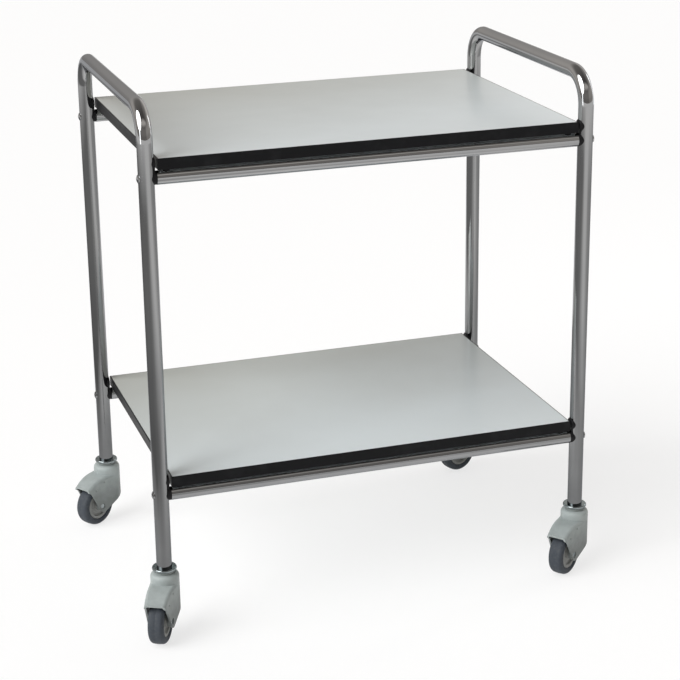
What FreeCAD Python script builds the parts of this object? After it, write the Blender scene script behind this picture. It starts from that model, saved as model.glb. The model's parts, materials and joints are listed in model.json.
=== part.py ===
import FreeCAD, Part
import math
import os

from FreeCAD import Vector

# Two-tier service trolley. Millimetres, +Z up, origin on the floor midway between the four legs.
# +X is the right-hand end and -Y is the front.

# Whole trolley
overall_height = 876.0
handle_rise = 86.0
leg_spacing_x = 725.0
leg_spacing_y = 475.0
lower_shelf_top = 273.0

# End frame tube
tube_diameter = 25.0
tube_wall = 1.5
bend_radius = 50.0

# Shelf boards and their edge strips
board_thickness = 18.0
edge_strip_thickness = 2.0
edge_strip_rounding = 1.0
shelf_leg_gap = 4.0
shelf_front_setback = 4.0

# Shelf rails
rail_diameter = 22.0
rail_wall = 1.5

# Corner connectors
boss_setback = 0.3
connector_reach = 15.5
lobe_reach = 13.0
connector_rounding = 1.2
lobe_radius = 10.5
lobe_spacing = 23.0
waist_rounding = 8.0
spigot_length = 8.5
leg_seat_clearance = 0.05
spigot_clearance = 0.1

# Joint screws and their nuts
joint_screw_diameter = 6.0
joint_screw_end = 1.5
dome_diameter = 13.0
dome_edge = 0.6
dome_height = 2.6
dome_crown_radius = 3.0
dome_rounding = 9.0
nut_across_flats = 10.0
nut_height = 5.0
nut_clearance = 0.1
screw_clearance = 0.2
thread_clearance = 0.05

# Shelf pads and shelf screws
pad_diameter = 10.0
pad_crown = 1.8
shelf_screw_gap = 1.5
shelf_screw_diameter = 4.0
shelf_screw_depth = 13.0
shelf_screw_head_diameter = 8.0
shelf_screw_head_height = 2.6
shelf_screw_head_rounding = 1.2

# Caster wheels
wheel_diameter = 75.0
tyre_width = 26.0
tyre_shoulder = 6.5
rim_diameter = 51.0
rim_width = 22.0
rim_lip = 2.5
rim_dish = 4.0
tyre_seat_depth = 3.0
tyre_seat_width = 10.0
tyre_seat_clearance = 0.05
hub_diameter = 20.0
hub_width = 24.0
axle_diameter = 8.0
wheel_bush_wall = 2.0
wheel_bush_length = 10.0
wheel_bush_flange = 1.0
running_clearance = 0.05
hub_side_clearance = 0.4

# Caster housings
trail = 35.5
well_headroom = 13.0
bearing_height = 19.0
neck_radius = 23.5
neck_rounding = 7.0
housing_wall = 3.0
roof_thickness = 3.5
crown_rounding = 6.0
well_rounding = 4.0
hood_rounding = 60.0
hood_drop = 1.5
hood_shoulder = 20.0
lip_reach = 30.5
lip_half_width = 18.0
lip_height = 41.0
arch_reach = 24.0
arch_rise = 31.0
arch_rounding = 14.0
tip_drop = 15.2
tip_rounding = 8.0
heel_rise = 12.0
heel_setback = 4.5
back_straight = 15.0
axle_boss_radius = 9.0
axle_end_recess = 1.0
axle_recess_radius = 5.5
dimple_count = 2
dimple_radius = 1.6
dimple_depth = 0.8
dimple_back = 5.5
dimple_step = 20.0
dimple_drop = 9.5
dimple_fall = 11.0

# Caster swivel: flanged stem, bush, clip and leg plug
flange_radius = 20.0
flange_thickness = 5.0
flange_rounding = 2.0
kingpin_diameter = 12.0
kingpin_tail = 5.0
stud_diameter = 10.0
stud_length = 30.0
stud_chamfer = 1.0
swivel_bush_wall = 2.5
swivel_washer_radius = 16.0
swivel_washer_thickness = 4.8
swivel_play = 0.2
clip_width = 3.0
clip_thickness = 1.2
clip_groove_depth = 0.8
clip_gap_angle = 60.0
clip_clearance = 0.1
leg_plug_length = 38.0
leg_plug_clearance = 0.1

# Direction in which each caster trails, in degrees from +X
caster_yaw = {
    "front_left": -118.0,
    "front_right": -142.0,
    "rear_left": -145.0,
    "rear_right": -160.0,
}

# Worked out from the sizes above
tube_radius = tube_diameter / 2
tube_bore_radius = tube_radius - tube_wall
rail_radius = rail_diameter / 2
rail_bore_radius = rail_radius - rail_wall
boss_radius = rail_radius - boss_setback
half_x = leg_spacing_x / 2
half_y = leg_spacing_y / 2
upper_shelf_top = overall_height - handle_rise
shelf_length = leg_spacing_x - tube_diameter - 2 * shelf_leg_gap
shelf_depth = leg_spacing_y + tube_diameter - 2 * shelf_front_setback
board_length = shelf_length - 2 * edge_strip_thickness
board_depth = shelf_depth - 2 * edge_strip_thickness
rail_half_length = half_x - connector_reach
rail_drop = board_thickness + pad_crown + rail_radius
joint_screw_radius = joint_screw_diameter / 2
joint_hole_radius = joint_screw_radius + screw_clearance
shelf_screw_radius = shelf_screw_diameter / 2
shelf_hole_radius = shelf_screw_radius + screw_clearance
shelf_head_radius = shelf_screw_head_diameter / 2
shelf_access_radius = shelf_head_radius + screw_clearance
shelf_seat_rise = math.sqrt(rail_bore_radius ** 2 - (shelf_head_radius + thread_clearance) ** 2)
joint_screw_tip = connector_reach + spigot_length + joint_screw_end
shelf_screw_x = half_x - joint_screw_tip - shelf_screw_gap - shelf_head_radius

wheel_radius = wheel_diameter / 2
rim_radius = rim_diameter / 2
axle_height = wheel_radius
axle_radius = axle_diameter / 2
wheel_bush_radius = axle_radius + running_clearance + wheel_bush_wall
hub_half_width = hub_width / 2 + wheel_bush_flange

well_roof = wheel_diameter + well_headroom
neck_top = well_roof + bearing_height
hood_top = well_roof + roof_thickness + hood_drop
heel_height = axle_height + heel_rise
back_bend = hood_top - back_straight
washer_top = neck_top + swivel_washer_thickness
flange_bottom = washer_top + swivel_play
leg_bottom = flange_bottom + flange_thickness
kingpin_radius = kingpin_diameter / 2
swivel_bush_radius = kingpin_radius + running_clearance + swivel_bush_wall
clip_top = well_roof - clip_clearance
clip_bottom = clip_top - clip_thickness
kingpin_bottom = clip_bottom - kingpin_tail
stud_top = leg_bottom + stud_length
lip_x = trail + lip_reach
lip_top = axle_height + lip_height

SHELVES = {"upper": upper_shelf_top, "lower": lower_shelf_top}
ENDS = {"left": -1, "right": 1}
SIDES = {"front": -1, "rear": 1}
Z_AXIS = Vector(0, 0, 1)
SMALLEST_EDGE = 1e-6


def rounded_wire(corners):
    """Closed outline in the XZ plane through corners given as (x, z, rounding)."""
    points = [Vector(x, 0, z) for x, z, rounding in corners]
    joins = []
    for index, (x, z, rounding) in enumerate(corners):
        corner = points[index]
        if rounding == 0:
            joins.append((corner, None, corner))
            continue
        to_last = (points[index - 1] - corner).normalize()
        to_next = (points[(index + 1) % len(points)] - corner).normalize()
        half_angle = to_last.getAngle(to_next) / 2
        tangent = rounding / math.tan(half_angle)
        bisector = (to_last + to_next).normalize()
        crown = corner + bisector * (rounding / math.sin(half_angle) - rounding)
        joins.append((corner + to_last * tangent, crown, corner + to_next * tangent))
    edges = []
    for index, (entry, crown, leave) in enumerate(joins):
        start = joins[index - 1][2]
        if (entry - start).Length > SMALLEST_EDGE:
            edges.append(Part.makeLine(start, entry))
        if crown is not None:
            edges.append(Part.Arc(entry, crown, leave).toShape())
    return Part.Wire(edges)


def turned(corners):
    """Solid of revolution about Z from a half section given as (radius, z, rounding)."""
    return Part.Face(rounded_wire(corners)).revolve(Vector(), Z_AXIS, 360)


def side_prism(corners, half_width):
    """Outline in the XZ plane drawn out to both sides of it."""
    face = Part.Face(rounded_wire(corners))
    face.translate(Vector(0, -half_width, 0))
    return face.extrude(Vector(0, 2 * half_width, 0))


def plan_prism(corners, bottom, top):
    """Outline given as (x, y, rounding) drawn upwards from bottom to top."""
    face = Part.Face(rounded_wire(corners))
    face.rotate(Vector(), Vector(1, 0, 0), -90)
    face.translate(Vector(0, 0, bottom))
    return face.extrude(Vector(0, 0, top - bottom))


def rod(radius, start, end):
    """Round rod between two points."""
    axis = end - start
    return Part.makeCylinder(radius, axis.Length, start, axis)


def group(solids):
    """Separate solids kept together as one node."""
    return Part.makeCompound(solids)


# End frames
def frame_path():
    """Centre line of one end frame in the YZ plane: leg, bend, handle, bend, leg."""
    top = overall_height - tube_radius
    bend_start = top - bend_radius
    handle_end = half_y - bend_radius
    slack = bend_radius * (1 - math.sqrt(0.5))
    front_foot = Vector(0, -half_y, leg_bottom)
    front_bend = Vector(0, -half_y, bend_start)
    front_crown = Vector(0, slack - half_y, top - slack)
    front_handle = Vector(0, -handle_end, top)
    rear_handle = Vector(0, handle_end, top)
    rear_crown = Vector(0, half_y - slack, top - slack)
    rear_bend = Vector(0, half_y, bend_start)
    rear_foot = Vector(0, half_y, leg_bottom)
    return Part.Wire([
        Part.makeLine(front_foot, front_bend),
        Part.Arc(front_bend, front_crown, front_handle).toShape(),
        Part.makeLine(front_handle, rear_handle),
        Part.Arc(rear_handle, rear_crown, rear_bend).toShape(),
        Part.makeLine(rear_bend, rear_foot),
    ])


def frame_bar(radius):
    """Round bar along the end frame's centre line."""
    section = Part.Wire(Part.makeCircle(radius, Vector(0, -half_y, leg_bottom), Z_AXIS))
    return frame_path().makePipeShell([section], True, False)


def end_frame(end):
    """Bent tube with cross holes for the joint screws."""
    tube = frame_bar(tube_radius).cut(frame_bar(tube_bore_radius))
    for side in SIDES.values():
        for shelf_top in SHELVES.values():
            centre = Vector(0, side * half_y, shelf_top - rail_drop)
            reach = Vector(tube_diameter, 0, 0)
            tube = tube.cut(rod(joint_hole_radius, centre - reach, centre + reach))
    tube.translate(Vector(end * half_x, 0, 0))
    return tube


# Shelves
def pad_places(shelf_top):
    """Points on the board's underside above the four shelf screws."""
    z = shelf_top - board_thickness
    return [Vector(end * shelf_screw_x, side * half_y, z) for end in ENDS.values() for side in SIDES.values()]


def board(shelf_top):
    """Laminated board with blind holes for the shelf screws."""
    corner = Vector(-board_length / 2, -board_depth / 2, shelf_top - board_thickness)
    panel = Part.makeBox(board_length, board_depth, board_thickness, corner)
    for place in pad_places(shelf_top):
        top = place + Vector(0, 0, shelf_screw_depth + screw_clearance)
        panel = panel.cut(rod(shelf_screw_radius + thread_clearance, place, top))
    return panel


def edge_strip(shelf_top, along_x, outward):
    """Edge band with its two outer arrises rounded; outward is -1 or 1."""
    bottom = shelf_top - board_thickness
    length = shelf_length if along_x else board_depth
    corners = [
        (0, 0, 0),
        (edge_strip_thickness, 0, edge_strip_rounding),
        (edge_strip_thickness, board_thickness, edge_strip_rounding),
        (0, board_thickness, 0),
    ]
    strip = side_prism(corners, length / 2)
    offset = board_depth / 2 if along_x else board_length / 2
    strip.translate(Vector(offset, 0, bottom))
    turn = {(False, 1): 0, (True, 1): 90, (False, -1): 180, (True, -1): -90}
    strip.rotate(Vector(), Z_AXIS, turn[(along_x, outward)])
    return strip


def shelf_pads():
    """Saddle pads between rail and board."""
    pads = []
    for shelf_top in SHELVES.values():
        for place in pad_places(shelf_top):
            axis = place - Vector(0, 0, pad_crown + rail_radius)
            pad = rod(pad_diameter / 2, axis, place)
            reach = Vector(pad_diameter, 0, 0)
            pad = pad.cut(rod(rail_radius + leg_seat_clearance, axis - reach, axis + reach))
            pads.append(pad.cut(rod(shelf_hole_radius, axis, place)))
    return group(pads)


def shelf_screws():
    """Pan-head screws seated inside the rail, up through its wall and the pad into the board."""
    seat_drop = pad_crown + rail_radius - shelf_seat_rise
    section = [
        (0, -shelf_screw_head_height, 0),
        (shelf_head_radius, -shelf_screw_head_height, shelf_screw_head_rounding),
        (shelf_head_radius, 0, 0),
        (shelf_screw_radius, 0, 0),
        (shelf_screw_radius, seat_drop + shelf_screw_depth, 0),
        (0, seat_drop + shelf_screw_depth, 0),
    ]
    screws = []
    for shelf_top in SHELVES.values():
        for place in pad_places(shelf_top):
            screw = turned(section)
            screw.translate(place - Vector(0, 0, seat_drop))
            screws.append(screw)
    return group(screws)


# Rails
def rail(shelf_top, side):
    """Round tube with a screw hole above and a wider access hole below at each shelf screw."""
    start = Vector(-rail_half_length, side * half_y, shelf_top - rail_drop)
    end = Vector(rail_half_length, side * half_y, shelf_top - rail_drop)
    tube = rod(rail_radius, start, end).cut(rod(rail_bore_radius, start, end))
    for place in pad_places(shelf_top):
        axis = place - Vector(0, 0, pad_crown + rail_radius)
        tube = tube.cut(rod(shelf_hole_radius, axis, place))
        tube = tube.cut(rod(shelf_access_radius, axis - Vector(0, 0, rail_diameter), axis))
    return tube


# Corner connectors, drawn for a leg on the Z axis with the rail leading off along +X
def connector_outline():
    """Figure of eight in the YZ plane: round the rail's boss, waist and upper lobe."""
    to_boss = boss_radius + waist_rounding
    to_lobe = lobe_radius + waist_rounding
    waist_z = (lobe_spacing ** 2 + to_boss ** 2 - to_lobe ** 2) / (2 * lobe_spacing)
    waist_y = math.sqrt(to_boss ** 2 - waist_z ** 2)
    boss_y = waist_y * boss_radius / to_boss
    boss_z = waist_z * boss_radius / to_boss
    lobe_y = waist_y * lobe_radius / to_lobe
    lobe_z = lobe_spacing + (waist_z - lobe_spacing) * lobe_radius / to_lobe
    neck_y = waist_y - waist_rounding
    bottom = Vector(0, 0, -boss_radius)
    top = Vector(0, 0, lobe_spacing + lobe_radius)
    right_boss = Vector(0, boss_y, boss_z)
    left_boss = Vector(0, -boss_y, boss_z)
    right_lobe = Vector(0, lobe_y, lobe_z)
    left_lobe = Vector(0, -lobe_y, lobe_z)
    return Part.Wire([
        Part.Arc(left_boss, bottom, right_boss).toShape(),
        Part.Arc(right_boss, Vector(0, neck_y, waist_z), right_lobe).toShape(),
        Part.Arc(right_lobe, top, left_lobe).toShape(),
        Part.Arc(left_lobe, Vector(0, -neck_y, waist_z), left_boss).toShape(),
    ])


def hexagon(across_flats, start, length):
    """Hexagonal bar along +X."""
    radius = across_flats / math.sqrt(3)
    corners = [math.radians(60 * step) for step in range(7)]
    points = [Vector(start, radius * math.cos(a), radius * math.sin(a)) for a in corners]
    return Part.Face(Part.makePolygon(points)).extrude(Vector(length, 0, 0))


nut_start = connector_reach + spigot_length - nut_height


def rounded_end(body, end_x):
    """Moulding with the edges of its end face rounded."""
    rim = [edge for edge in body.Edges if edge.BoundBox.XMin > end_x - SMALLEST_EDGE]
    return body.makeFillet(connector_rounding, rim)


def connector():
    """Moulded joint: two-lobed saddle on the leg, boss behind the rail end, spigot inside the rail."""
    saddle = Part.Face(connector_outline()).extrude(Vector(lobe_reach, 0, 0))
    boss = rod(boss_radius, Vector(), Vector(connector_reach, 0, 0))
    body = rounded_end(saddle, lobe_reach).fuse(rounded_end(boss, connector_reach))
    spigot_radius = rail_bore_radius - spigot_clearance
    spigot_end = Vector(connector_reach + spigot_length, 0, 0)
    body = body.fuse(rod(spigot_radius, Vector(tube_radius, 0, 0), spigot_end)).removeSplitter()
    reach = Vector(0, 0, lobe_spacing + 2 * lobe_radius)
    body = body.cut(rod(tube_radius + leg_seat_clearance, -reach, reach))
    body = body.cut(rod(joint_hole_radius, Vector(), spigot_end))
    return body.cut(hexagon(nut_across_flats + 2 * nut_clearance, nut_start, nut_height))


def joint_screw():
    """Dome-head screw from the leg's outer side through both tube walls to the nut."""
    tip = joint_screw_tip
    dome = dome_diameter / 2
    screw = turned([
        (0, 0, 0),
        (joint_screw_radius, 0, 0),
        (joint_screw_radius, tip, 0),
        (dome, tip, 0),
        (dome, tip + tube_radius + dome_edge, 0),
        (dome_crown_radius, tip + tube_radius + dome_height, dome_rounding),
        (0, tip + tube_radius + dome_height, 0),
    ])
    screw.rotate(Vector(), Vector(0, 1, 0), -90)
    screw.translate(Vector(tip, 0, 0))
    reach = Vector(0, 0, dome_diameter)
    seat = rod(tube_radius + leg_seat_clearance, -reach, reach)
    return screw.cut(seat.cut(rod(joint_screw_radius, Vector(-tip, 0, 0), Vector(tip, 0, 0))))


def joint_nut():
    """Hexagon nut caught in the end of the spigot."""
    end = Vector(nut_start + nut_height, 0, 0)
    nut = hexagon(nut_across_flats, nut_start, nut_height)
    return nut.cut(rod(joint_screw_radius + thread_clearance, Vector(), end))


def at_corner(shape, end, side, shelf_top):
    """Copy of a corner piece at one leg and shelf, with the rail towards the middle."""
    placed = shape.copy()
    if end > 0:
        placed.rotate(Vector(), Z_AXIS, 180)
    placed.translate(Vector(end * half_x, side * half_y, shelf_top - rail_drop))
    return placed


def at_every_corner(shape):
    """Copies of a corner piece at all eight joints."""
    return group([
        at_corner(shape, end, side, shelf_top)
        for end in ENDS.values()
        for side in SIDES.values()
        for shelf_top in SHELVES.values()
    ])


# Casters, drawn on the Z axis and trailing along +X
def about_axle(shape):
    """Turned piece moved from the Z axis to the wheel axle."""
    shape.rotate(Vector(), Vector(1, 0, 0), 90)
    shape.translate(Vector(trail, 0, axle_height))
    return shape


def tyre():
    """Rubber tyre with rounded shoulders and a rib that sits in the rim's groove."""
    bore = rim_radius + tyre_seat_clearance
    rib = bore - tyre_seat_depth
    half_rib = tyre_seat_width / 2 - tyre_seat_clearance
    half_tread = tyre_width / 2
    half_bore = rim_width / 2
    return about_axle(turned([
        (rib, -half_rib, 0),
        (bore, -half_rib, 0),
        (bore, -half_bore, 0),
        (bore + rim_lip, -half_tread, 0),
        (wheel_radius, -half_tread, tyre_shoulder),
        (wheel_radius, half_tread, tyre_shoulder),
        (bore + rim_lip, half_tread, 0),
        (bore, half_bore, 0),
        (bore, half_rib, 0),
        (rib, half_rib, 0),
    ]))


def wheel_rim():
    """Dished rim with a tyre groove, a web and a hub bored for two bushes."""
    groove = rim_radius - tyre_seat_depth
    lip = groove - rim_lip
    half_groove = tyre_seat_width / 2
    half_rim = rim_width / 2
    half_web = half_rim - rim_dish
    hub = hub_diameter / 2
    half_hub = hub_width / 2
    section = [(wheel_bush_radius, half_hub, 0), (hub, half_hub, 0), (hub, half_web, 0)]
    section += [(lip, half_web, 0), (lip, half_rim, 0), (rim_radius, half_rim, 0)]
    section += [(rim_radius, half_groove, 0), (groove, half_groove, 0)]
    mirrored = [(radius, -z, rounding) for radius, z, rounding in reversed(section)]
    return about_axle(turned(section + mirrored))


def wheel_bushes():
    """Two flanged bushes, one in each end of the hub."""
    bore = axle_radius + running_clearance
    half_hub = hub_width / 2
    flange = (wheel_bush_radius + hub_diameter / 2) / 2
    section = [
        (bore, half_hub - wheel_bush_length, 0),
        (wheel_bush_radius, half_hub - wheel_bush_length, 0),
        (wheel_bush_radius, half_hub, 0),
        (flange, half_hub, 0),
        (flange, hub_half_width, 0),
        (bore, hub_half_width, 0),
    ]
    mirrored = [(radius, -z, rounding) for radius, z, rounding in section]
    return group([about_axle(turned(section)), about_axle(turned(mirrored))])


def taper_at(x, radius, end_x, end_half_width):
    """Half width of the line from the lip corner that touches the round back."""
    distance = math.hypot(end_x, end_half_width)
    angle = math.atan2(end_half_width, end_x) + math.acos(radius / distance)
    return (radius - x * math.cos(angle)) / math.sin(angle)


def cheek_half_width(x):
    """Half width over the outer faces of the cheeks at a distance along the trail."""
    return taper_at(x, neck_radius, lip_x, lip_half_width)


def hood_plan(radius, end_x, end_half_width):
    """Plan outline: round back, straight tapering cheeks and a flat lip."""
    back = taper_at(-radius, radius, end_x, end_half_width)
    return [
        (-radius, -back, radius),
        (end_x, -end_half_width, 0),
        (end_x, end_half_width, 0),
        (-radius, back, radius),
    ]


def back_line(z):
    """Distance along the trail of the back, which leans in from its bend down to the heel."""
    return heel_setback * (back_bend - z) / (back_bend - heel_height) - neck_radius


def housing_body():
    """Outer form: the side outline and the plan outline drawn out and intersected."""
    side = side_prism([
        (back_line(heel_height), heel_height, 0),
        (trail, axle_height - tip_drop, tip_rounding),
        (trail + arch_reach, axle_height + arch_rise, arch_rounding),
        (lip_x, lip_top - 2 * housing_wall, 0),
        (lip_x, lip_top, 0),
        (lip_x - hood_shoulder, hood_top - hood_drop, hood_rounding),
        (back_line(hood_top), hood_top, 0),
    ], 2 * neck_radius)
    body = side.common(plan_prism(hood_plan(neck_radius, lip_x, lip_half_width), 0, neck_top))
    crown = [
        edge for edge in body.Edges
        if edge.BoundBox.ZMin > lip_top - SMALLEST_EDGE
        and edge.BoundBox.XLength > crown_rounding
    ]
    return body.makeFillet(crown_rounding, crown)


def wheel_well():
    """Space inside the hood, open below and at the front."""
    inner_radius = neck_radius - housing_wall
    mouth_x = lip_x + wheel_radius
    mouth_half_width = cheek_half_width(mouth_x) - housing_wall
    hood_slope = (hood_top - hood_drop - lip_top) / hood_shoulder
    mouth_top = lip_top - housing_wall - hood_slope * (mouth_x - lip_x)
    roof = hood_top - housing_wall
    side = side_prism([
        (back_line(0) + housing_wall, 0, 0),
        (mouth_x, 0, 0),
        (mouth_x, mouth_top, 0),
        (lip_x - hood_shoulder, roof - hood_drop, hood_rounding),
        (back_line(roof) + housing_wall, roof, 0),
    ], 2 * neck_radius)
    plan = hood_plan(inner_radius, mouth_x, mouth_half_width)
    well = side.common(plan_prism(plan, 0, hood_top))
    roof_edges = [
        edge for edge in well.Edges
        if edge.BoundBox.ZMin > mouth_top - SMALLEST_EDGE
        and edge.BoundBox.XLength > well_rounding
    ]
    return well.makeFillet(well_rounding, roof_edges)


def housing():
    """Moulded caster housing: neck, hood, two dimpled cheeks and the axle bosses inside them."""
    neck = turned([
        (0, well_roof, 0),
        (neck_radius, well_roof, 0),
        (neck_radius, neck_top, neck_rounding),
        (0, neck_top, 0),
    ])
    shell = housing_body().cut(wheel_well()).fuse(neck)
    half_axle = cheek_half_width(trail) - axle_end_recess
    boss_start = hub_half_width + hub_side_clearance
    for side in SIDES.values():
        boss_end = cheek_half_width(trail) - housing_wall / 2
        start = Vector(trail, side * boss_start, axle_height)
        end = Vector(trail, side * boss_end, axle_height)
        shell = shell.fuse(rod(axle_boss_radius, start, end))
    outside = Vector(0, 2 * neck_radius, 0)
    axle_centre = Vector(trail, 0, axle_height)
    shell = shell.cut(rod(axle_radius, axle_centre - outside, axle_centre + outside))
    for side in SIDES.values():
        start = Vector(trail, side * half_axle, axle_height)
        shell = shell.cut(rod(axle_recess_radius, start, start + outside * side))
        for step in range(dimple_count):
            x = trail - dimple_back + step * dimple_step
            z = hood_top - dimple_drop - step * dimple_fall
            start = Vector(x, side * (cheek_half_width(x) - dimple_depth), z)
            shell = shell.cut(rod(dimple_radius, start, start + outside * side))
    shell = shell.cut(rod(swivel_bush_radius, Vector(), Vector(0, 0, leg_bottom)))
    return shell.removeSplitter()


def axle():
    """Plain axle pin pressed through both cheeks."""
    half_axle = cheek_half_width(trail) - axle_end_recess
    centre = Vector(trail, 0, axle_height)
    reach = Vector(0, half_axle, 0)
    return rod(axle_radius, centre - reach, centre + reach)


def swivel_stem():
    """Turned stem: stud in the leg plug, flange under the leg and grooved kingpin below."""
    groove = kingpin_radius - clip_groove_depth
    return turned([
        (0, kingpin_bottom, 0),
        (kingpin_radius, kingpin_bottom, 0),
        (kingpin_radius, clip_bottom, 0),
        (groove, clip_bottom, 0),
        (groove, clip_top, 0),
        (kingpin_radius, clip_top, 0),
        (kingpin_radius, flange_bottom, 0),
        (flange_radius, flange_bottom, flange_rounding),
        (flange_radius, leg_bottom, flange_rounding),
        (stud_diameter / 2, leg_bottom, 0),
        (stud_diameter / 2, stud_top, stud_chamfer),
        (0, stud_top, 0),
    ])


def swivel_bush():
    """Flanged bush in the neck; its thick flange takes the load from the stem."""
    bore = kingpin_radius + running_clearance
    return turned([
        (bore, well_roof, 0),
        (swivel_bush_radius, well_roof, 0),
        (swivel_bush_radius, neck_top, 0),
        (swivel_washer_radius, neck_top, 0),
        (swivel_washer_radius, washer_top, 0),
        (bore, washer_top, 0),
    ])


def swivel_clip():
    """Open retaining clip in the kingpin's groove."""
    inner = kingpin_radius - clip_groove_depth
    outer = kingpin_radius + clip_width
    section = Part.Face(rounded_wire([
        (inner, clip_bottom, 0),
        (outer, clip_bottom, 0),
        (outer, clip_top, 0),
        (inner, clip_top, 0),
    ]))
    return section.revolve(Vector(), Z_AXIS, 360 - clip_gap_angle)


def leg_plug():
    """Plug pressed into the open end of the leg, bored for the stud."""
    outer = tube_bore_radius - leg_plug_clearance
    bore = stud_diameter / 2 + thread_clearance
    plug_top = leg_bottom + leg_plug_length
    return turned([
        (bore, leg_bottom, 0),
        (outer, leg_bottom, 0),
        (outer, plug_top, stud_chamfer),
        (bore, plug_top, 0),
    ])


def under_leg(shape, end, side, yaw):
    """Copy of a caster piece under one leg, turned to its trailing direction."""
    placed = shape.copy()
    placed.rotate(Vector(), Z_AXIS, yaw)
    placed.translate(Vector(end * half_x, side * half_y, 0))
    return placed


def build():
    """All nodes by name."""
    nodes = {}
    for end_name, end in ENDS.items():
        nodes[end_name + "_end_frame"] = end_frame(end)
    corner_joint = connector()
    for shelf_name, shelf_top in SHELVES.items():
        nodes[shelf_name + "_shelf_board"] = board(shelf_top)
        for side_name, side in SIDES.items():
            nodes[shelf_name + "_" + side_name + "_edge_strip"] = edge_strip(shelf_top, True, side)
            nodes[shelf_name + "_" + side_name + "_rail"] = rail(shelf_top, side)
        for end_name, end in ENDS.items():
            nodes[shelf_name + "_" + end_name + "_edge_strip"] = edge_strip(shelf_top, False, end)
            for side_name, side in SIDES.items():
                name = "_".join([shelf_name, side_name, end_name, "connector"])
                nodes[name] = at_corner(corner_joint, end, side, shelf_top)
    nodes["joint_screws"] = at_every_corner(joint_screw())
    nodes["joint_nuts"] = at_every_corner(joint_nut())
    nodes["shelf_pads"] = shelf_pads()
    nodes["shelf_screws"] = shelf_screws()

    caster_pieces = {
        "swivel_stem": swivel_stem(),
        "swivel_bush": swivel_bush(),
        "caster_housing": housing(),
        "axle": axle(),
        "wheel_bushes": wheel_bushes(),
        "wheel_rim": wheel_rim(),
        "tyre": tyre(),
    }
    plugs = []
    clips = []
    for side_name, side in SIDES.items():
        for end_name, end in ENDS.items():
            corner = side_name + "_" + end_name
            yaw = caster_yaw[corner]
            for piece_name, piece in caster_pieces.items():
                nodes[corner + "_" + piece_name] = under_leg(piece, end, side, yaw)
            plugs.append(under_leg(leg_plug(), end, side, yaw))
            clips.append(under_leg(swivel_clip(), end, side, yaw))
    nodes["leg_plugs"] = group(plugs)
    nodes["swivel_clips"] = group(clips)
    return nodes


os.makedirs("parts", exist_ok=True)
for node_name, node_shape in build().items():
    node_shape.exportStep("parts/" + node_name + ".step")
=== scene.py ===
import json
import math

import bmesh
import bpy
from mathutils import Matrix, Vector


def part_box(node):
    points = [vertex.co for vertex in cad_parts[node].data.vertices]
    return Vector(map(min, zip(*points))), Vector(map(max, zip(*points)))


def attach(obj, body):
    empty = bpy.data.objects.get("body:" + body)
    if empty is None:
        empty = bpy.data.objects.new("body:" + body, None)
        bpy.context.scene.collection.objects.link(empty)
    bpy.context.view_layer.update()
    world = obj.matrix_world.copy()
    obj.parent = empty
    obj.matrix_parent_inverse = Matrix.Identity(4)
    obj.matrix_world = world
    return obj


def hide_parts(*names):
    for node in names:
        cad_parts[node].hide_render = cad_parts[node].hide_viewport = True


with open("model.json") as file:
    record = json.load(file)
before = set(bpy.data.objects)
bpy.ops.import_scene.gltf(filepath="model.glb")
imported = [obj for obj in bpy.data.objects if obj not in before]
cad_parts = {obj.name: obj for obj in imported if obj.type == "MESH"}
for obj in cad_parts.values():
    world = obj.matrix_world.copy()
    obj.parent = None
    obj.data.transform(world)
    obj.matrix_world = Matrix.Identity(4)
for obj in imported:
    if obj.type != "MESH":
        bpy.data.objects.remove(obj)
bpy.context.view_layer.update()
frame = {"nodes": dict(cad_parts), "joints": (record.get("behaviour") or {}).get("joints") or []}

NODES = frame["nodes"]
JOINTS = {joint["name"]: joint for joint in frame["joints"]}
CORNERS = ("front_left", "front_right", "rear_left", "rear_right")
ENDS = ("left", "right")
X, Y, Z = range(3)
UP = Vector((0, 0, 1))
QUARTER_TURN = math.pi / 2
FULL_TURN = 2 * math.pi

# Sizes in metres that the frame doesn't give exactly
BEND_RADIUS = 0.050
TYRE_HALF_WIDTH = 0.013
RIM_RADIUS = 0.0255
RIM_HALF_WIDTH = 0.011

# Fineness of the meshes
TUBE_FACETS = 72
BEND_STEPS = 28
WHEEL_STEPS = 96
SHOULDER_STEPS = 8
BEVEL_STEPS = 3
MERGE_DISTANCE = 1e-6
SHARP_ANGLE = math.radians(32)

# Studio floor: a white sweep under the cart, turned from its front, on a grey floor; lengths in metres
SWEEP_TURN = math.radians(18.0)
SWEEP_FRONT = 0.54
SWEEP_HALF_WIDTH = 0.63
SWEEP_TAPER = 0.19
SWEEP_FADE = 0.5
FAR_START = 3.2
FAR_END = 4.75
FAR_TONE = 0.90
REAR_RIGHT_TONE = 0.47
FLOOR_REACH = 5.0
FLOOR_HALF_SIZE = 60.0
FLOOR_DROP = 0.0004
FLOOR_GLOW = 0.70

# Windows' tint
COOL_WHITE = (0.94, 0.97, 1.0)

# Camera: angles in degrees, places in metres, the photograph's frame in pixels, its sensor in millimetres
VIEW_AZIMUTH = -18.03
VIEW_ELEVATION = 17.94
VIEW_ROLL = -0.771
VIEW_TARGET = Vector((0.01857, 0, 0.45185))
VIEW_DISTANCE = 3.16128
FRAME_PIXELS = 680
FOCAL_PIXELS = 1822.814
TARGET_ROW = 300
SENSOR_WIDTH = 36.0
CLIP_END = 200.0


# Finishes

class Field:
    """A socket in a node tree. Operators on it add Math nodes."""

    def __init__(self, nodes, socket):
        self.nodes = nodes
        self.socket = socket

    def math(self, operation, first, second):
        return self.nodes.node("ShaderNodeMath", {"operation": operation}, {0: first, 1: second})

    def __add__(self, other):
        return self.math("ADD", self, other)

    def __sub__(self, other):
        return self.math("SUBTRACT", self, other)

    def __rsub__(self, other):
        return self.math("SUBTRACT", other, self)

    def __mul__(self, other):
        return self.math("MULTIPLY", self, other)

    __radd__ = __add__
    __rmul__ = __mul__


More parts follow.
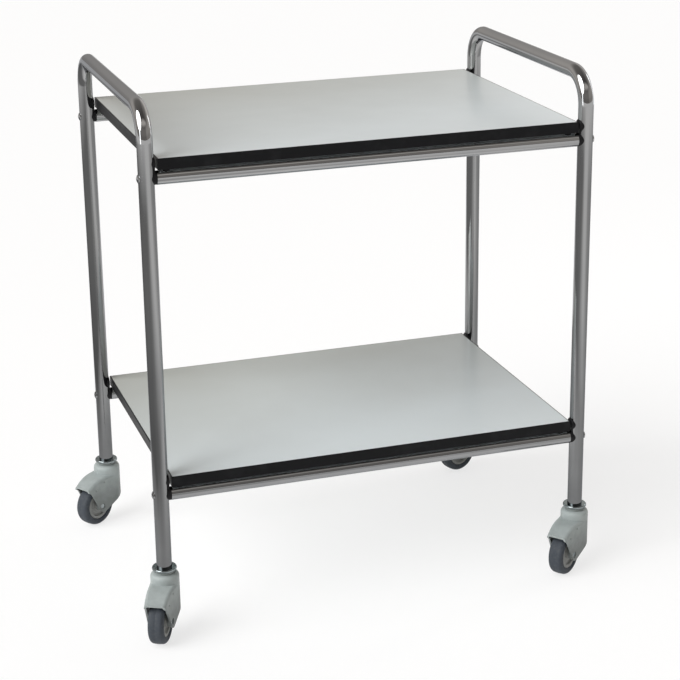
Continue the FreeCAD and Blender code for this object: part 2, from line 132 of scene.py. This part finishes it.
class Nodes:
    """The nodes of a material or a world."""

    def __init__(self, owner):
        owner.use_nodes = True
        self.tree = owner.node_tree

    def node(self, kind, settings=None, inputs=None, output=0):
        """One node: its settings first, then the values or links of its sockets."""
        made = self.tree.nodes.new(kind)
        for key, value in (settings or {}).items():
            if key == "stops":
                ramp = made.color_ramp.elements
                while len(ramp) < len(value):
                    ramp.new(0.5)
                for element, (position, level) in zip(ramp, value):
                    element.position = position
                    element.color = (level, level, level, 1)
            else:
                setattr(made, key, value)
        for key, value in (inputs or {}).items():
            self.feed(made.inputs[key], value)
        return Field(self, made.outputs[output])

    def feed(self, socket, value):
        """Links a field to a socket, or sets the socket's own value."""
        if isinstance(value, Field):
            self.tree.links.new(value.socket, socket)
        else:
            socket.default_value = value

    def axis(self, vector, index):
        """One coordinate of a vector."""
        return self.node("ShaderNodeSeparateXYZ", None, {"Vector": vector}, output=index)

    def between(self, field, low, high, first, last):
        """A smooth change from first to last while the field goes from low to high."""
        limits = {"From Min": low, "From Max": high, "To Min": first, "To Max": last}
        smooth = {"interpolation_type": "SMOOTHSTEP"}
        return self.node("ShaderNodeMapRange", smooth, {"Value": field, **limits})


class Finish(Nodes):
    """A procedural surface on Object coordinates."""

    def __init__(self, name, **constants):
        self.material = bpy.data.materials.new(name)
        super().__init__(self.material)
        self.shader = self.tree.nodes["Principled BSDF"]
        self.set(**constants)

    def set(self, **values):
        """Feeds the shader's sockets."""
        for socket, value in values.items():
            self.feed(self.shader.inputs[socket.replace("_", " ")], value)

    def place(self, stretch=(1, 1, 1)):
        """Object coordinates, stretched along the axes."""
        spot = self.node("ShaderNodeTexCoord", output="Object")
        return self.node("ShaderNodeMapping", None, {"Vector": spot, "Scale": stretch})

    def coordinate(self, index):
        """One of the Object coordinates."""
        return self.axis(self.place(), index)

    def noise(self, scale, detail, stretch=(1, 1, 1)):
        spot = self.place(stretch)
        return self.node("ShaderNodeTexNoise", None, {"Vector": spot, "Scale": scale, "Detail": detail})

    def cells(self, scale):
        return self.node("ShaderNodeTexVoronoi", None, {"Vector": self.place(), "Scale": scale})

    def ramp(self, field, *stops):
        """A grey ramp through stops of (position, level)."""
        return self.node("ShaderNodeValToRGB", {"stops": stops}, {"Fac": field})

    def clamped(self, field):
        """The field, kept between 0 and 1."""
        return self.ramp(field, (0.0, 0.0), (1.0, 1.0))

    def mix(self, factor, first, second):
        """Colour between two colours."""
        sockets = {0: factor, 6: first, 7: second}
        return self.node("ShaderNodeMix", {"data_type": "RGBA"}, sockets, output=2)

    def bump(self, field, strength, distance):
        sockets = {"Height": field, "Strength": strength, "Distance": distance}
        return self.node("ShaderNodeBump", None, sockets)


def grey(level, warmth=0.0):
    """A neutral colour; warmth above zero leans to red, below to blue."""
    return (level * (1 + warmth), level, level * (1 - warmth), 1)


def bright_chrome(name, level, gloss, wear_and_shade):
    """Plated metal, darkened towards the floor by painted shade to a share of its level and a little rougher
    there, clouded and smeared.
    """
    finish = Finish(name, Metallic=1.0, Specular_Tint=(0.55, 0.56, 0.58, 1))
    cloud = finish.noise(scale=9.0, detail=4.0)
    drift = finish.noise(scale=16.0, detail=4.0)
    # Painted shade: the colour darkens towards the floor, down to the given share of its level; the
    # roughness also rises a little there.
    floor_shade_and_dulling = finish.ramp(finish.coordinate(Z) + drift * 0.10, (0.12, 1.0), (0.55, 0.0))
    clean = finish.mix(cloud, grey(level * 0.92, -0.02), grey(level * 1.08, 0.01))
    smear = finish.noise(scale=26.0, detail=5.0, stretch=(1.0, 1.0, 0.16))
    speck = finish.ramp(finish.noise(scale=420.0, detail=2.0), (0.60, 0.0), (0.74, 1.0))
    ripple = finish.noise(scale=40.0, detail=2.0)
    finish.set(
        Base_Color=finish.mix(floor_shade_and_dulling, clean, grey(level * wear_and_shade, -0.02)),
        Roughness=gloss + smear * 0.05 + speck * 0.10 + floor_shade_and_dulling * 0.04,
        Normal=finish.bump(ripple, strength=0.02, distance=0.0005),
    )
    return finish.material


def zinc_plate():
    """Plated steel with a fine spangle and patches of tarnish."""
    finish = Finish("zinc_steel", Metallic=1.0, Specular_Tint=(0.4, 0.42, 0.43, 1))
    spangle = finish.cells(scale=520.0)
    tarnish = finish.noise(scale=60.0, detail=4.0)
    pitting = finish.noise(scale=900.0, detail=2.0)
    finish.set(
        Base_Color=finish.mix(tarnish, (0.20, 0.225, 0.23, 1), (0.34, 0.375, 0.38, 1)),
        Roughness=0.08 + spangle * 0.06 + tarnish * 0.08,
        Normal=finish.bump(pitting, strength=0.06, distance=0.0002),
    )
    return finish.material


def shelf_laminate():
    """White laminate: painted shade towards the rear left, with faint clouds, flecks and dulled smudges."""
    finish = Finish("white_laminate", Specular_IOR_Level=0.22, Coat_Roughness=0.14)
    cloud = finish.noise(scale=5.0, detail=5.0)
    fleck = finish.ramp(finish.noise(scale=700.0, detail=2.0), (0.42, 0.0), (0.62, 1.0))
    smudge = finish.noise(scale=9.0, detail=3.0)
    pores = finish.noise(scale=120.0, detail=2.0)
    # Painted shade: the board's colour greys towards its rear left.
    rear_left = finish.coordinate(Y) * 1.3 - finish.coordinate(X) * 0.45
    painted_rear_shade = finish.ramp(rear_left + cloud * 0.2 + 0.25, (0.10, 0.0), (0.78, 1.0))
    plain = finish.mix(fleck * 0.35, (0.592, 0.645, 0.665, 1), (0.632, 0.684, 0.703, 1))
    finish.set(
        Base_Color=finish.mix(painted_rear_shade, plain, (0.392, 0.408, 0.384, 1)),
        Roughness=0.29 + smudge * 0.10,
        Coat_Weight=finish.ramp(smudge, (0.35, 0.14), (0.70, 0.24)),
        Normal=finish.bump(pores, strength=0.02, distance=0.0004),
    )
    return finish.material


def edge_band():
    """Black plastic edging with a satin drawn grain and rubbed spots."""
    finish = Finish("black_edging", Specular_IOR_Level=0.16)
    grain = finish.noise(scale=300.0, detail=3.0, stretch=(0.05, 0.05, 1.0))
    rub = finish.ramp(finish.noise(scale=38.0, detail=5.0), (0.52, 0.0), (0.80, 1.0))
    finish.set(
        Base_Color=finish.mix(rub, (0.0055, 0.0058, 0.0068, 1), (0.0140, 0.0145, 0.0160, 1)),
        Roughness=0.34 + grain * 0.14 + rub * 0.08,
        Normal=finish.bump(grain, strength=0.08, distance=0.0003),
    )
    return finish.material


def moulded_black():
    """Moulded nylon with a spark-eroded grain."""
    finish = Finish("black_plastic", Specular_IOR_Level=0.18)
    grain = finish.noise(scale=1600.0, detail=2.0)
    wear_and_shade = finish.noise(scale=70.0, detail=4.0)
    finish.set(
        Base_Color=finish.mix(wear_and_shade, (0.0055, 0.0055, 0.0062, 1), (0.0130, 0.0130, 0.0145, 1)),
        Roughness=0.38 + wear_and_shade * 0.18,
        Normal=finish.bump(grain, strength=0.18, distance=0.0003),
    )
    return finish.material


def caster_grey():
    """Light grey moulded housing: grain, flow clouds, and grime with painted shade that thickens down its
    cheeks.
    """
    finish = Finish("grey_housing", Specular_IOR_Level=0.45)
    flow = finish.noise(scale=28.0, detail=4.0)
    grain = finish.noise(scale=1300.0, detail=2.0)
    blotch = finish.noise(scale=90.0, detail=5.0)
    # Grime and painted shade: the colour darkens down the cheeks, towards the floor.
    grime_and_shade = finish.ramp(finish.coordinate(Z) * 9.0 + blotch * 0.3, (0.56, 1.0), (1.00, 0.0))
    clean = finish.mix(flow, (0.325, 0.365, 0.362, 1), (0.380, 0.420, 0.416, 1))
    finish.set(
        Base_Color=finish.mix(grime_and_shade * 0.85, clean, (0.150, 0.163, 0.160, 1)),
        Roughness=0.42 + flow * 0.16,
        Normal=finish.bump(grain, strength=0.12, distance=0.0003),
    )
    return finish.material


def rim_grey():
    """Mid grey wheel moulding with scuffs."""
    finish = Finish("grey_rim", Specular_IOR_Level=0.4)
    scuff = finish.noise(scale=160.0, detail=5.0)
    grain = finish.noise(scale=1200.0, detail=2.0)
    finish.set(
        Base_Color=finish.mix(scuff, (0.200, 0.206, 0.200, 1), (0.300, 0.306, 0.296, 1)),
        Roughness=0.45 + scuff * 0.2,
        Normal=finish.bump(grain, strength=0.12, distance=0.0003),
    )
    return finish.material


def bush_grey():
    """Waxy bearing plastic."""
    finish = Finish("bush_plastic", Specular_IOR_Level=0.5)
    mottle = finish.noise(scale=240.0, detail=3.0)
    finish.set(
        Base_Color=finish.mix(mottle, (0.20, 0.225, 0.22, 1), (0.27, 0.295, 0.29, 1)),
        Roughness=0.35 + mottle * 0.15,
        Normal=finish.bump(mottle, strength=0.06, distance=0.0002),
    )
    return finish.material


def tyre_rubber():
    """Blue-grey rubber with dust from the floor and a matt grain."""
    finish = Finish("rubber_tyre", Specular_IOR_Level=0.35)
    patch = finish.noise(scale=45.0, detail=5.0)
    dust = finish.ramp(finish.noise(scale=210.0, detail=5.0), (0.48, 0.0), (0.80, 1.0))
    grain = finish.noise(scale=900.0, detail=3.0)
    clean = finish.mix(patch, (0.035, 0.043, 0.054, 1), (0.053, 0.062, 0.075, 1))
    finish.set(
        Base_Color=finish.mix(dust * 0.3, clean, (0.110, 0.112, 0.110, 1)),
        Roughness=0.56 + patch * 0.2,
        Normal=finish.bump(grain, strength=0.2, distance=0.0004),
    )
    return finish.material


FINISHES = {
    # The last argument is the share of the level that the painted shade leaves at the floor end.
    "chrome_tube": bright_chrome("chrome_tube", level=0.40, gloss=0.03, wear_and_shade=0.36),
    "chrome_rail": bright_chrome("chrome_rail", level=0.40, gloss=0.03, wear_and_shade=0.62),
    "chrome_fastener": bright_chrome("chrome_fastener", level=0.40, gloss=0.08, wear_and_shade=0.55),
    "zinc_steel": zinc_plate(),
    "white_laminate": shelf_laminate(),
    "black_edging": edge_band(),
    "black_plastic": moulded_black(),
    "grey_housing": caster_grey(),
    "grey_rim": rim_grey(),
    "bush_plastic": bush_grey(),
    "rubber_tyre": tyre_rubber(),
}


# Pieces

def mesh_object(name, bm, material):
    """A finished bmesh as an object in the scene, at the origin."""
    mesh = bpy.data.meshes.new(name)
    bm.to_mesh(mesh)
    bm.free()
    mesh.materials.append(material)
    made = bpy.data.objects.new(name, mesh)
    bpy.context.scene.collection.objects.link(made)
    return made


def add_piece(name, bm, body, node, slot):
    """Puts a finished bmesh on its body in place of a CAD node."""
    piece = mesh_object(name, bm, FINISHES[slot])
    piece.data.shade_smooth()
    piece.data.set_sharp_from_angle(angle=SHARP_ANGLE)
    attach(piece, body)
    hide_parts(node)


def closed_up(bm):
    """Merges the doubles of a shape and turns its faces outwards."""
    bmesh.ops.remove_doubles(bm, verts=bm.verts, dist=MERGE_DISTANCE)
    bmesh.ops.recalc_face_normals(bm, faces=bm.faces)


def edges_of(made):
    return [item for item in made if isinstance(item, bmesh.types.BMEdge)]


def drawn_on(bm, edges, move):
    """Extrudes a ring of edges and returns the new ring."""
    made = bmesh.ops.extrude_edge_only(bm, edges=edges)["geom"]
    verts = [item for item in made if isinstance(item, bmesh.types.BMVert)]
    bmesh.ops.translate(bm, verts=verts, vec=move)
    return edges_of(made)


def bent_round(bm, edges, centre):
    """Spins a ring of edges a quarter turn about X and returns the new ring."""
    made = bmesh.ops.spin(
        bm, geom=edges, cent=centre, axis=(1, 0, 0), angle=-QUARTER_TURN, steps=BEND_STEPS,
        use_duplicate=False,
    )
    return edges_of(made["geom_last"])


def end_frame_tube(end):
    """One bent tube: leg, bend, handle, bend, leg."""
    low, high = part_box(end + "_end_frame")
    x = (low.x + high.x) / 2
    tube_radius = (high.x - low.x) / 2
    leg_y = high.y - tube_radius
    handle_z = high.z - tube_radius
    bend_z = handle_z - BEND_RADIUS
    bend_y = leg_y - BEND_RADIUS
    bm = bmesh.new()
    foot = Matrix.Translation((x, -leg_y, low.z))
    bmesh.ops.create_circle(bm, cap_ends=False, radius=tube_radius, segments=TUBE_FACETS, matrix=foot)
    ring = drawn_on(bm, bm.edges[:], (0, 0, bend_z - low.z))
    ring = bent_round(bm, ring, (x, -bend_y, bend_z))
    ring = drawn_on(bm, ring, (0, 2 * bend_y, 0))
    ring = bent_round(bm, ring, (x, bend_y, bend_z))
    drawn_on(bm, ring, (0, 0, low.z - bend_z))
    open_edges = [edge for edge in bm.edges if edge.is_boundary]
    bmesh.ops.holes_fill(bm, edges=open_edges, sides=0)
    closed_up(bm)
    add_piece(end + "_bent_tube", bm, "frame", end + "_end_frame", "chrome_tube")


def turned_on_axle(corner, half):
    """Spins a profile and its mirror image about a wheel's axle.

    The half profile is a list of (radius, distance along the axle from the wheel's middle).
    """
    joint = JOINTS[corner + "_roll"]
    centre = Vector(joint["pos_m"])
    axle = Vector(joint["axis"])
    profile = half + [(radius, -along) for radius, along in reversed(half) if along > 0]
    bm = bmesh.new()
    verts = [bm.verts.new(centre + UP * radius + axle * along) for radius, along in profile]
    edges = [bm.edges.new((verts[i - 1], verts[i])) for i in range(len(verts))]
    bmesh.ops.spin(
        bm, geom=verts + edges, cent=centre, axis=axle, angle=FULL_TURN, steps=WHEEL_STEPS,
        use_merge=True, use_duplicate=False,
    )
    closed_up(bm)
    return bm


def tyre_piece(corner):
    """Tyre, as large as its axle is high: crowned tread, parting line, round shoulders, ringed walls."""
    tread = JOINTS[corner + "_roll"]["pos_m"][Z]
    seam_depth = 0.00025
    seam_floor = 0.0003
    seam_edge = 0.0009
    crown = 0.0004
    shoulder = 0.0065
    ring_outer = RIM_RADIUS + 0.0050
    ring_inner = RIM_RADIUS + 0.0034
    ring_depth = 0.0004
    wall_foot = RIM_RADIUS + 0.0022
    foot_draft = 0.0001
    shoulder_radius = tread - crown - shoulder
    shoulder_along = TYRE_HALF_WIDTH - shoulder
    half = [(tread - seam_depth, seam_floor), (tread, seam_edge)]
    for step in range(SHOULDER_STEPS + 1):
        angle = QUARTER_TURN * step / SHOULDER_STEPS
        radius = shoulder_radius + shoulder * math.cos(angle)
        half.append((radius, shoulder_along + shoulder * math.sin(angle)))
    half += [
        (ring_outer, TYRE_HALF_WIDTH),
        (ring_outer - ring_depth, TYRE_HALF_WIDTH - ring_depth),
        (ring_inner + ring_depth, TYRE_HALF_WIDTH - ring_depth),
        (ring_inner, TYRE_HALF_WIDTH),
        (wall_foot, TYRE_HALF_WIDTH - foot_draft),
        (RIM_RADIUS, RIM_HALF_WIDTH),
    ]
    bm = turned_on_axle(corner, half)
    add_piece(corner + "_tyre_rubber", bm, corner + "_wheel", corner + "_tyre", "rubber_tyre")


def rim_piece(corner):
    """Rim: lip, dished web with a step, and a hub round the bushes, all with softened edges."""
    lip_radius = RIM_RADIUS - 0.0048
    web_radius = RIM_RADIUS - 0.0062
    web_along = RIM_HALF_WIDTH - 0.0036
    dish_radius = 0.0150
    dish_along = RIM_HALF_WIDTH - 0.0042
    step_radius = 0.0142
    step_along = RIM_HALF_WIDTH - 0.0030
    hub_foot = 0.0106
    hub_radius = 0.0100
    hub_half_length = 0.0120
    bore_radius = 0.00605
    edge_break = 0.0005
    half = [
        (RIM_RADIUS, 0.0),
        (RIM_RADIUS, RIM_HALF_WIDTH),
        (lip_radius, RIM_HALF_WIDTH),
        (web_radius, web_along),
        (dish_radius, dish_along),
        (step_radius, step_along),
        (hub_foot, step_along),
        (hub_radius, hub_half_length),
        (bore_radius, hub_half_length),
        (bore_radius, 0.0),
    ]
    bm = turned_on_axle(corner, half)
    sharp = [edge for edge in bm.edges if edge.calc_face_angle(0) > SHARP_ANGLE]
    bmesh.ops.bevel(
        bm, geom=sharp, offset=edge_break, affect="EDGES", segments=BEVEL_STEPS, profile=0.5, material=-1,
    )
    add_piece(corner + "_rim_moulding", bm, corner + "_wheel", corner + "_wheel_rim", "grey_rim")


for end_name in ENDS:
    end_frame_tube(end_name)
for corner_name in CORNERS:
    tyre_piece(corner_name)
    rim_piece(corner_name)

FINISH_OF_ENDING = {
    "_shelf_board": "white_laminate",
    "_edge_strip": "black_edging",
    "_connector": "black_plastic",
    "joint_screws": "chrome_fastener",
    "joint_nuts": "zinc_steel",
    "shelf_pads": "black_plastic",
    "shelf_screws": "zinc_steel",
    "leg_plugs": "black_plastic",
    "swivel_clips": "zinc_steel",
    "_swivel_stem": "zinc_steel",
    "_swivel_bush": "bush_plastic",
    "_caster_housing": "grey_housing",
    "_axle": "zinc_steel",
    "_wheel_bushes": "bush_plastic",
    "_wheel_rim": "grey_rim",
    "_tyre": "rubber_tyre",
    "_rail": "chrome_rail",
    "_end_frame": "chrome_tube",
}
for node_name, node in NODES.items():
    finish_name = next(name for ending, name in FINISH_OF_ENDING.items() if node_name.endswith(ending))
    node.data.materials.clear()
    node.data.materials.append(FINISHES[finish_name])


# Studio

def floor_tone(finish):
    """White on the sweep; around it grey, lighter in front to the right, and pale far away."""
    across = finish.coordinate(X)
    along = finish.coordinate(Y)
    ahead = across * -math.sin(SWEEP_TURN) - along * math.cos(SWEEP_TURN)
    rightward = across * math.cos(SWEEP_TURN) - along * math.sin(SWEEP_TURN)
    narrowing = ahead * SWEEP_TAPER - SWEEP_HALF_WIDTH
    off_front = finish.clamped((ahead - SWEEP_FRONT) * (1 / SWEEP_FADE))
    off_right = finish.clamped((narrowing + rightward) * (1 / SWEEP_FADE))
    off_left = finish.clamped((narrowing - rightward) * (1 / SWEEP_FADE))
    off_sweep = finish.clamped(off_front + off_right + off_left)
    slant = ahead * 0.06 + rightward * 0.30 + 0.5
    around = finish.ramp(slant, (0.28, 0.24), (0.50, 0.32), (0.65, 0.50), (0.92, 0.84))
    rear_right = finish.ramp(rightward * 0.4 - ahead * 0.3, (0.25, 0.0), (0.8, 1.0))
    around = finish.mix(rear_right, around, grey(REAR_RIGHT_TONE))
    length = {"operation": "LENGTH"}
    distance = finish.node("ShaderNodeVectorMath", length, {0: finish.place()}, output="Value")
    fade = ((FAR_START / FLOOR_REACH, 0.0), (FAR_END / FLOOR_REACH, 1.0))
    far = finish.ramp(distance * (1 / FLOOR_REACH), *fade)
    around = finish.mix(far, around, grey(FAR_TONE))
    return finish.mix(off_sweep, grey(1.0), around)


def floor_sheet():
    """Wide floor: part of it is lit and keeps the cart's shadow, part glows where it is seen or mirrored."""
    finish = Finish("studio_floor", Roughness=0.85, Specular_IOR_Level=0.1)
    tone = floor_tone(finish)
    finish.set(Base_Color=tone)
    seen = finish.node("ShaderNodeLightPath", output="Is Camera Ray")
    seen = seen + finish.node("ShaderNodeLightPath", output="Is Glossy Ray")
    seen = seen + finish.node("ShaderNodeLightPath", output="Is Transmission Ray")
    lit = Field(finish, finish.shader.outputs["BSDF"])
    glow = finish.node("ShaderNodeEmission", None, {"Color": tone})
    surface = finish.node("ShaderNodeMixShader", None, {0: seen * FLOOR_GLOW, 1: lit, 2: glow})
    finish.feed(finish.tree.nodes["Material Output"].inputs["Surface"], surface)
    bm = bmesh.new()
    level = Matrix.Translation((0, 0, -FLOOR_DROP))
    bmesh.ops.create_grid(bm, x_segments=1, y_segments=1, size=FLOOR_HALF_SIZE, matrix=level)
    floor = mesh_object("studio_floor", bm, finish.material)


def direction(azimuth, elevation):
    """Unit vector away from the cart; azimuth 0 is the front, right positive, in degrees."""
    a, e = math.radians(azimuth), math.radians(elevation)
    return Vector((math.sin(a) * math.cos(e), -math.cos(a) * math.cos(e), math.sin(e)))


def hang_lamp(data, place, towards):
    """Puts a lamp at a place, shining in a direction."""
    lamp = bpy.data.objects.new(data.name, data)
    lamp.location = place
    lamp.rotation_mode = "QUATERNION"
    lamp.rotation_quaternion = towards.to_track_quat("-Z", "Y")
    bpy.context.scene.collection.objects.link(lamp)


def window_light(name, place, aim, width, height, power):
    """Rectangular soft lamp with a cool tint, turned towards a point."""
    data = bpy.data.lights.new(name, "AREA")
    data.shape = "RECTANGLE"
    data.size = width
    data.size_y = height
    data.energy = power
    data.color = COOL_WHITE
    hang_lamp(data, Vector(place), Vector(aim) - Vector(place))


def daylight(azimuth, elevation, strength, spread):
    """Wide even light from one side; its angles are in degrees."""
    data = bpy.data.lights.new("daylight", "SUN")
    data.energy = strength
    data.angle = math.radians(spread)
    hang_lamp(data, Vector(), -direction(azimuth, elevation))


def studio_world(front, back, right, overhead, skylight):
    """Grey room: dim in front and overhead, lighter behind and to the right, a skylight high in front.

    The limits of each change are parts of a unit vector from the cart.
    """
    world = bpy.data.worlds.new("studio_room")
    room = Nodes(world)
    towards = room.node("ShaderNodeTexCoord", output="Generated")
    across, along, upward = (room.axis(towards, index) for index in (X, Y, Z))
    level = room.between(along, -0.5, 0.8, front, back) * room.between(upward, 0.10, 0.27, 0.80, 1.0)
    level = level * room.between(across, 0.32, 0.46, 1.0, right)
    level = level * room.between(upward, 0.40, 0.80, 1.0, overhead)
    high_front = room.between(along, -0.62, -0.42, 1.0, 0.0) * room.between(upward, 0.55, 0.72, 0.0, 1.0)
    background = room.tree.nodes["Background"]
    background.inputs["Color"].default_value = grey(1.0, 0.055)
    room.feed(background.inputs["Strength"], level + high_front * skylight)
    bpy.context.scene.world = world


def photo_camera():
    """Camera at the photograph's viewing angle."""
    data = bpy.data.cameras.new("photo_camera")
    data.sensor_width = SENSOR_WIDTH
    data.lens = FOCAL_PIXELS / FRAME_PIXELS * SENSOR_WIDTH
    data.shift_y = (TARGET_ROW - FRAME_PIXELS / 2) / FRAME_PIXELS
    data.clip_end = CLIP_END
    back = direction(VIEW_AZIMUTH, VIEW_ELEVATION)
    right = direction(VIEW_AZIMUTH + 90, 0)
    stand = Matrix.Translation(VIEW_TARGET + back * VIEW_DISTANCE)
    turn = Matrix((right, back.cross(right), back)).transposed().to_4x4()
    roll = Matrix.Rotation(math.radians(VIEW_ROLL), 4, "Z")
    camera = bpy.data.objects.new("photo_camera", data)
    camera.matrix_world = stand @ turn @ roll
    bpy.context.scene.collection.objects.link(camera)
    bpy.context.scene.camera = camera


floor_sheet()
studio_world(front=0.28, back=0.68, right=1.6, overhead=0.36, skylight=0.55)
daylight(azimuth=-76.0, elevation=40.0, strength=2.85, spread=50.0)
window_light("left_window", (-2.2, -1.0, 1.2), aim=(-0.3, -0.2, 0.8), width=0.4, height=1.6, power=7.0)
window_light("right_window", (2.3, 0.6, 1.2), aim=(0.2, -0.1, 0.8), width=0.25, height=1.6, power=6.0)
photo_camera()
bpy.context.scene.view_settings.view_transform = "Standard"
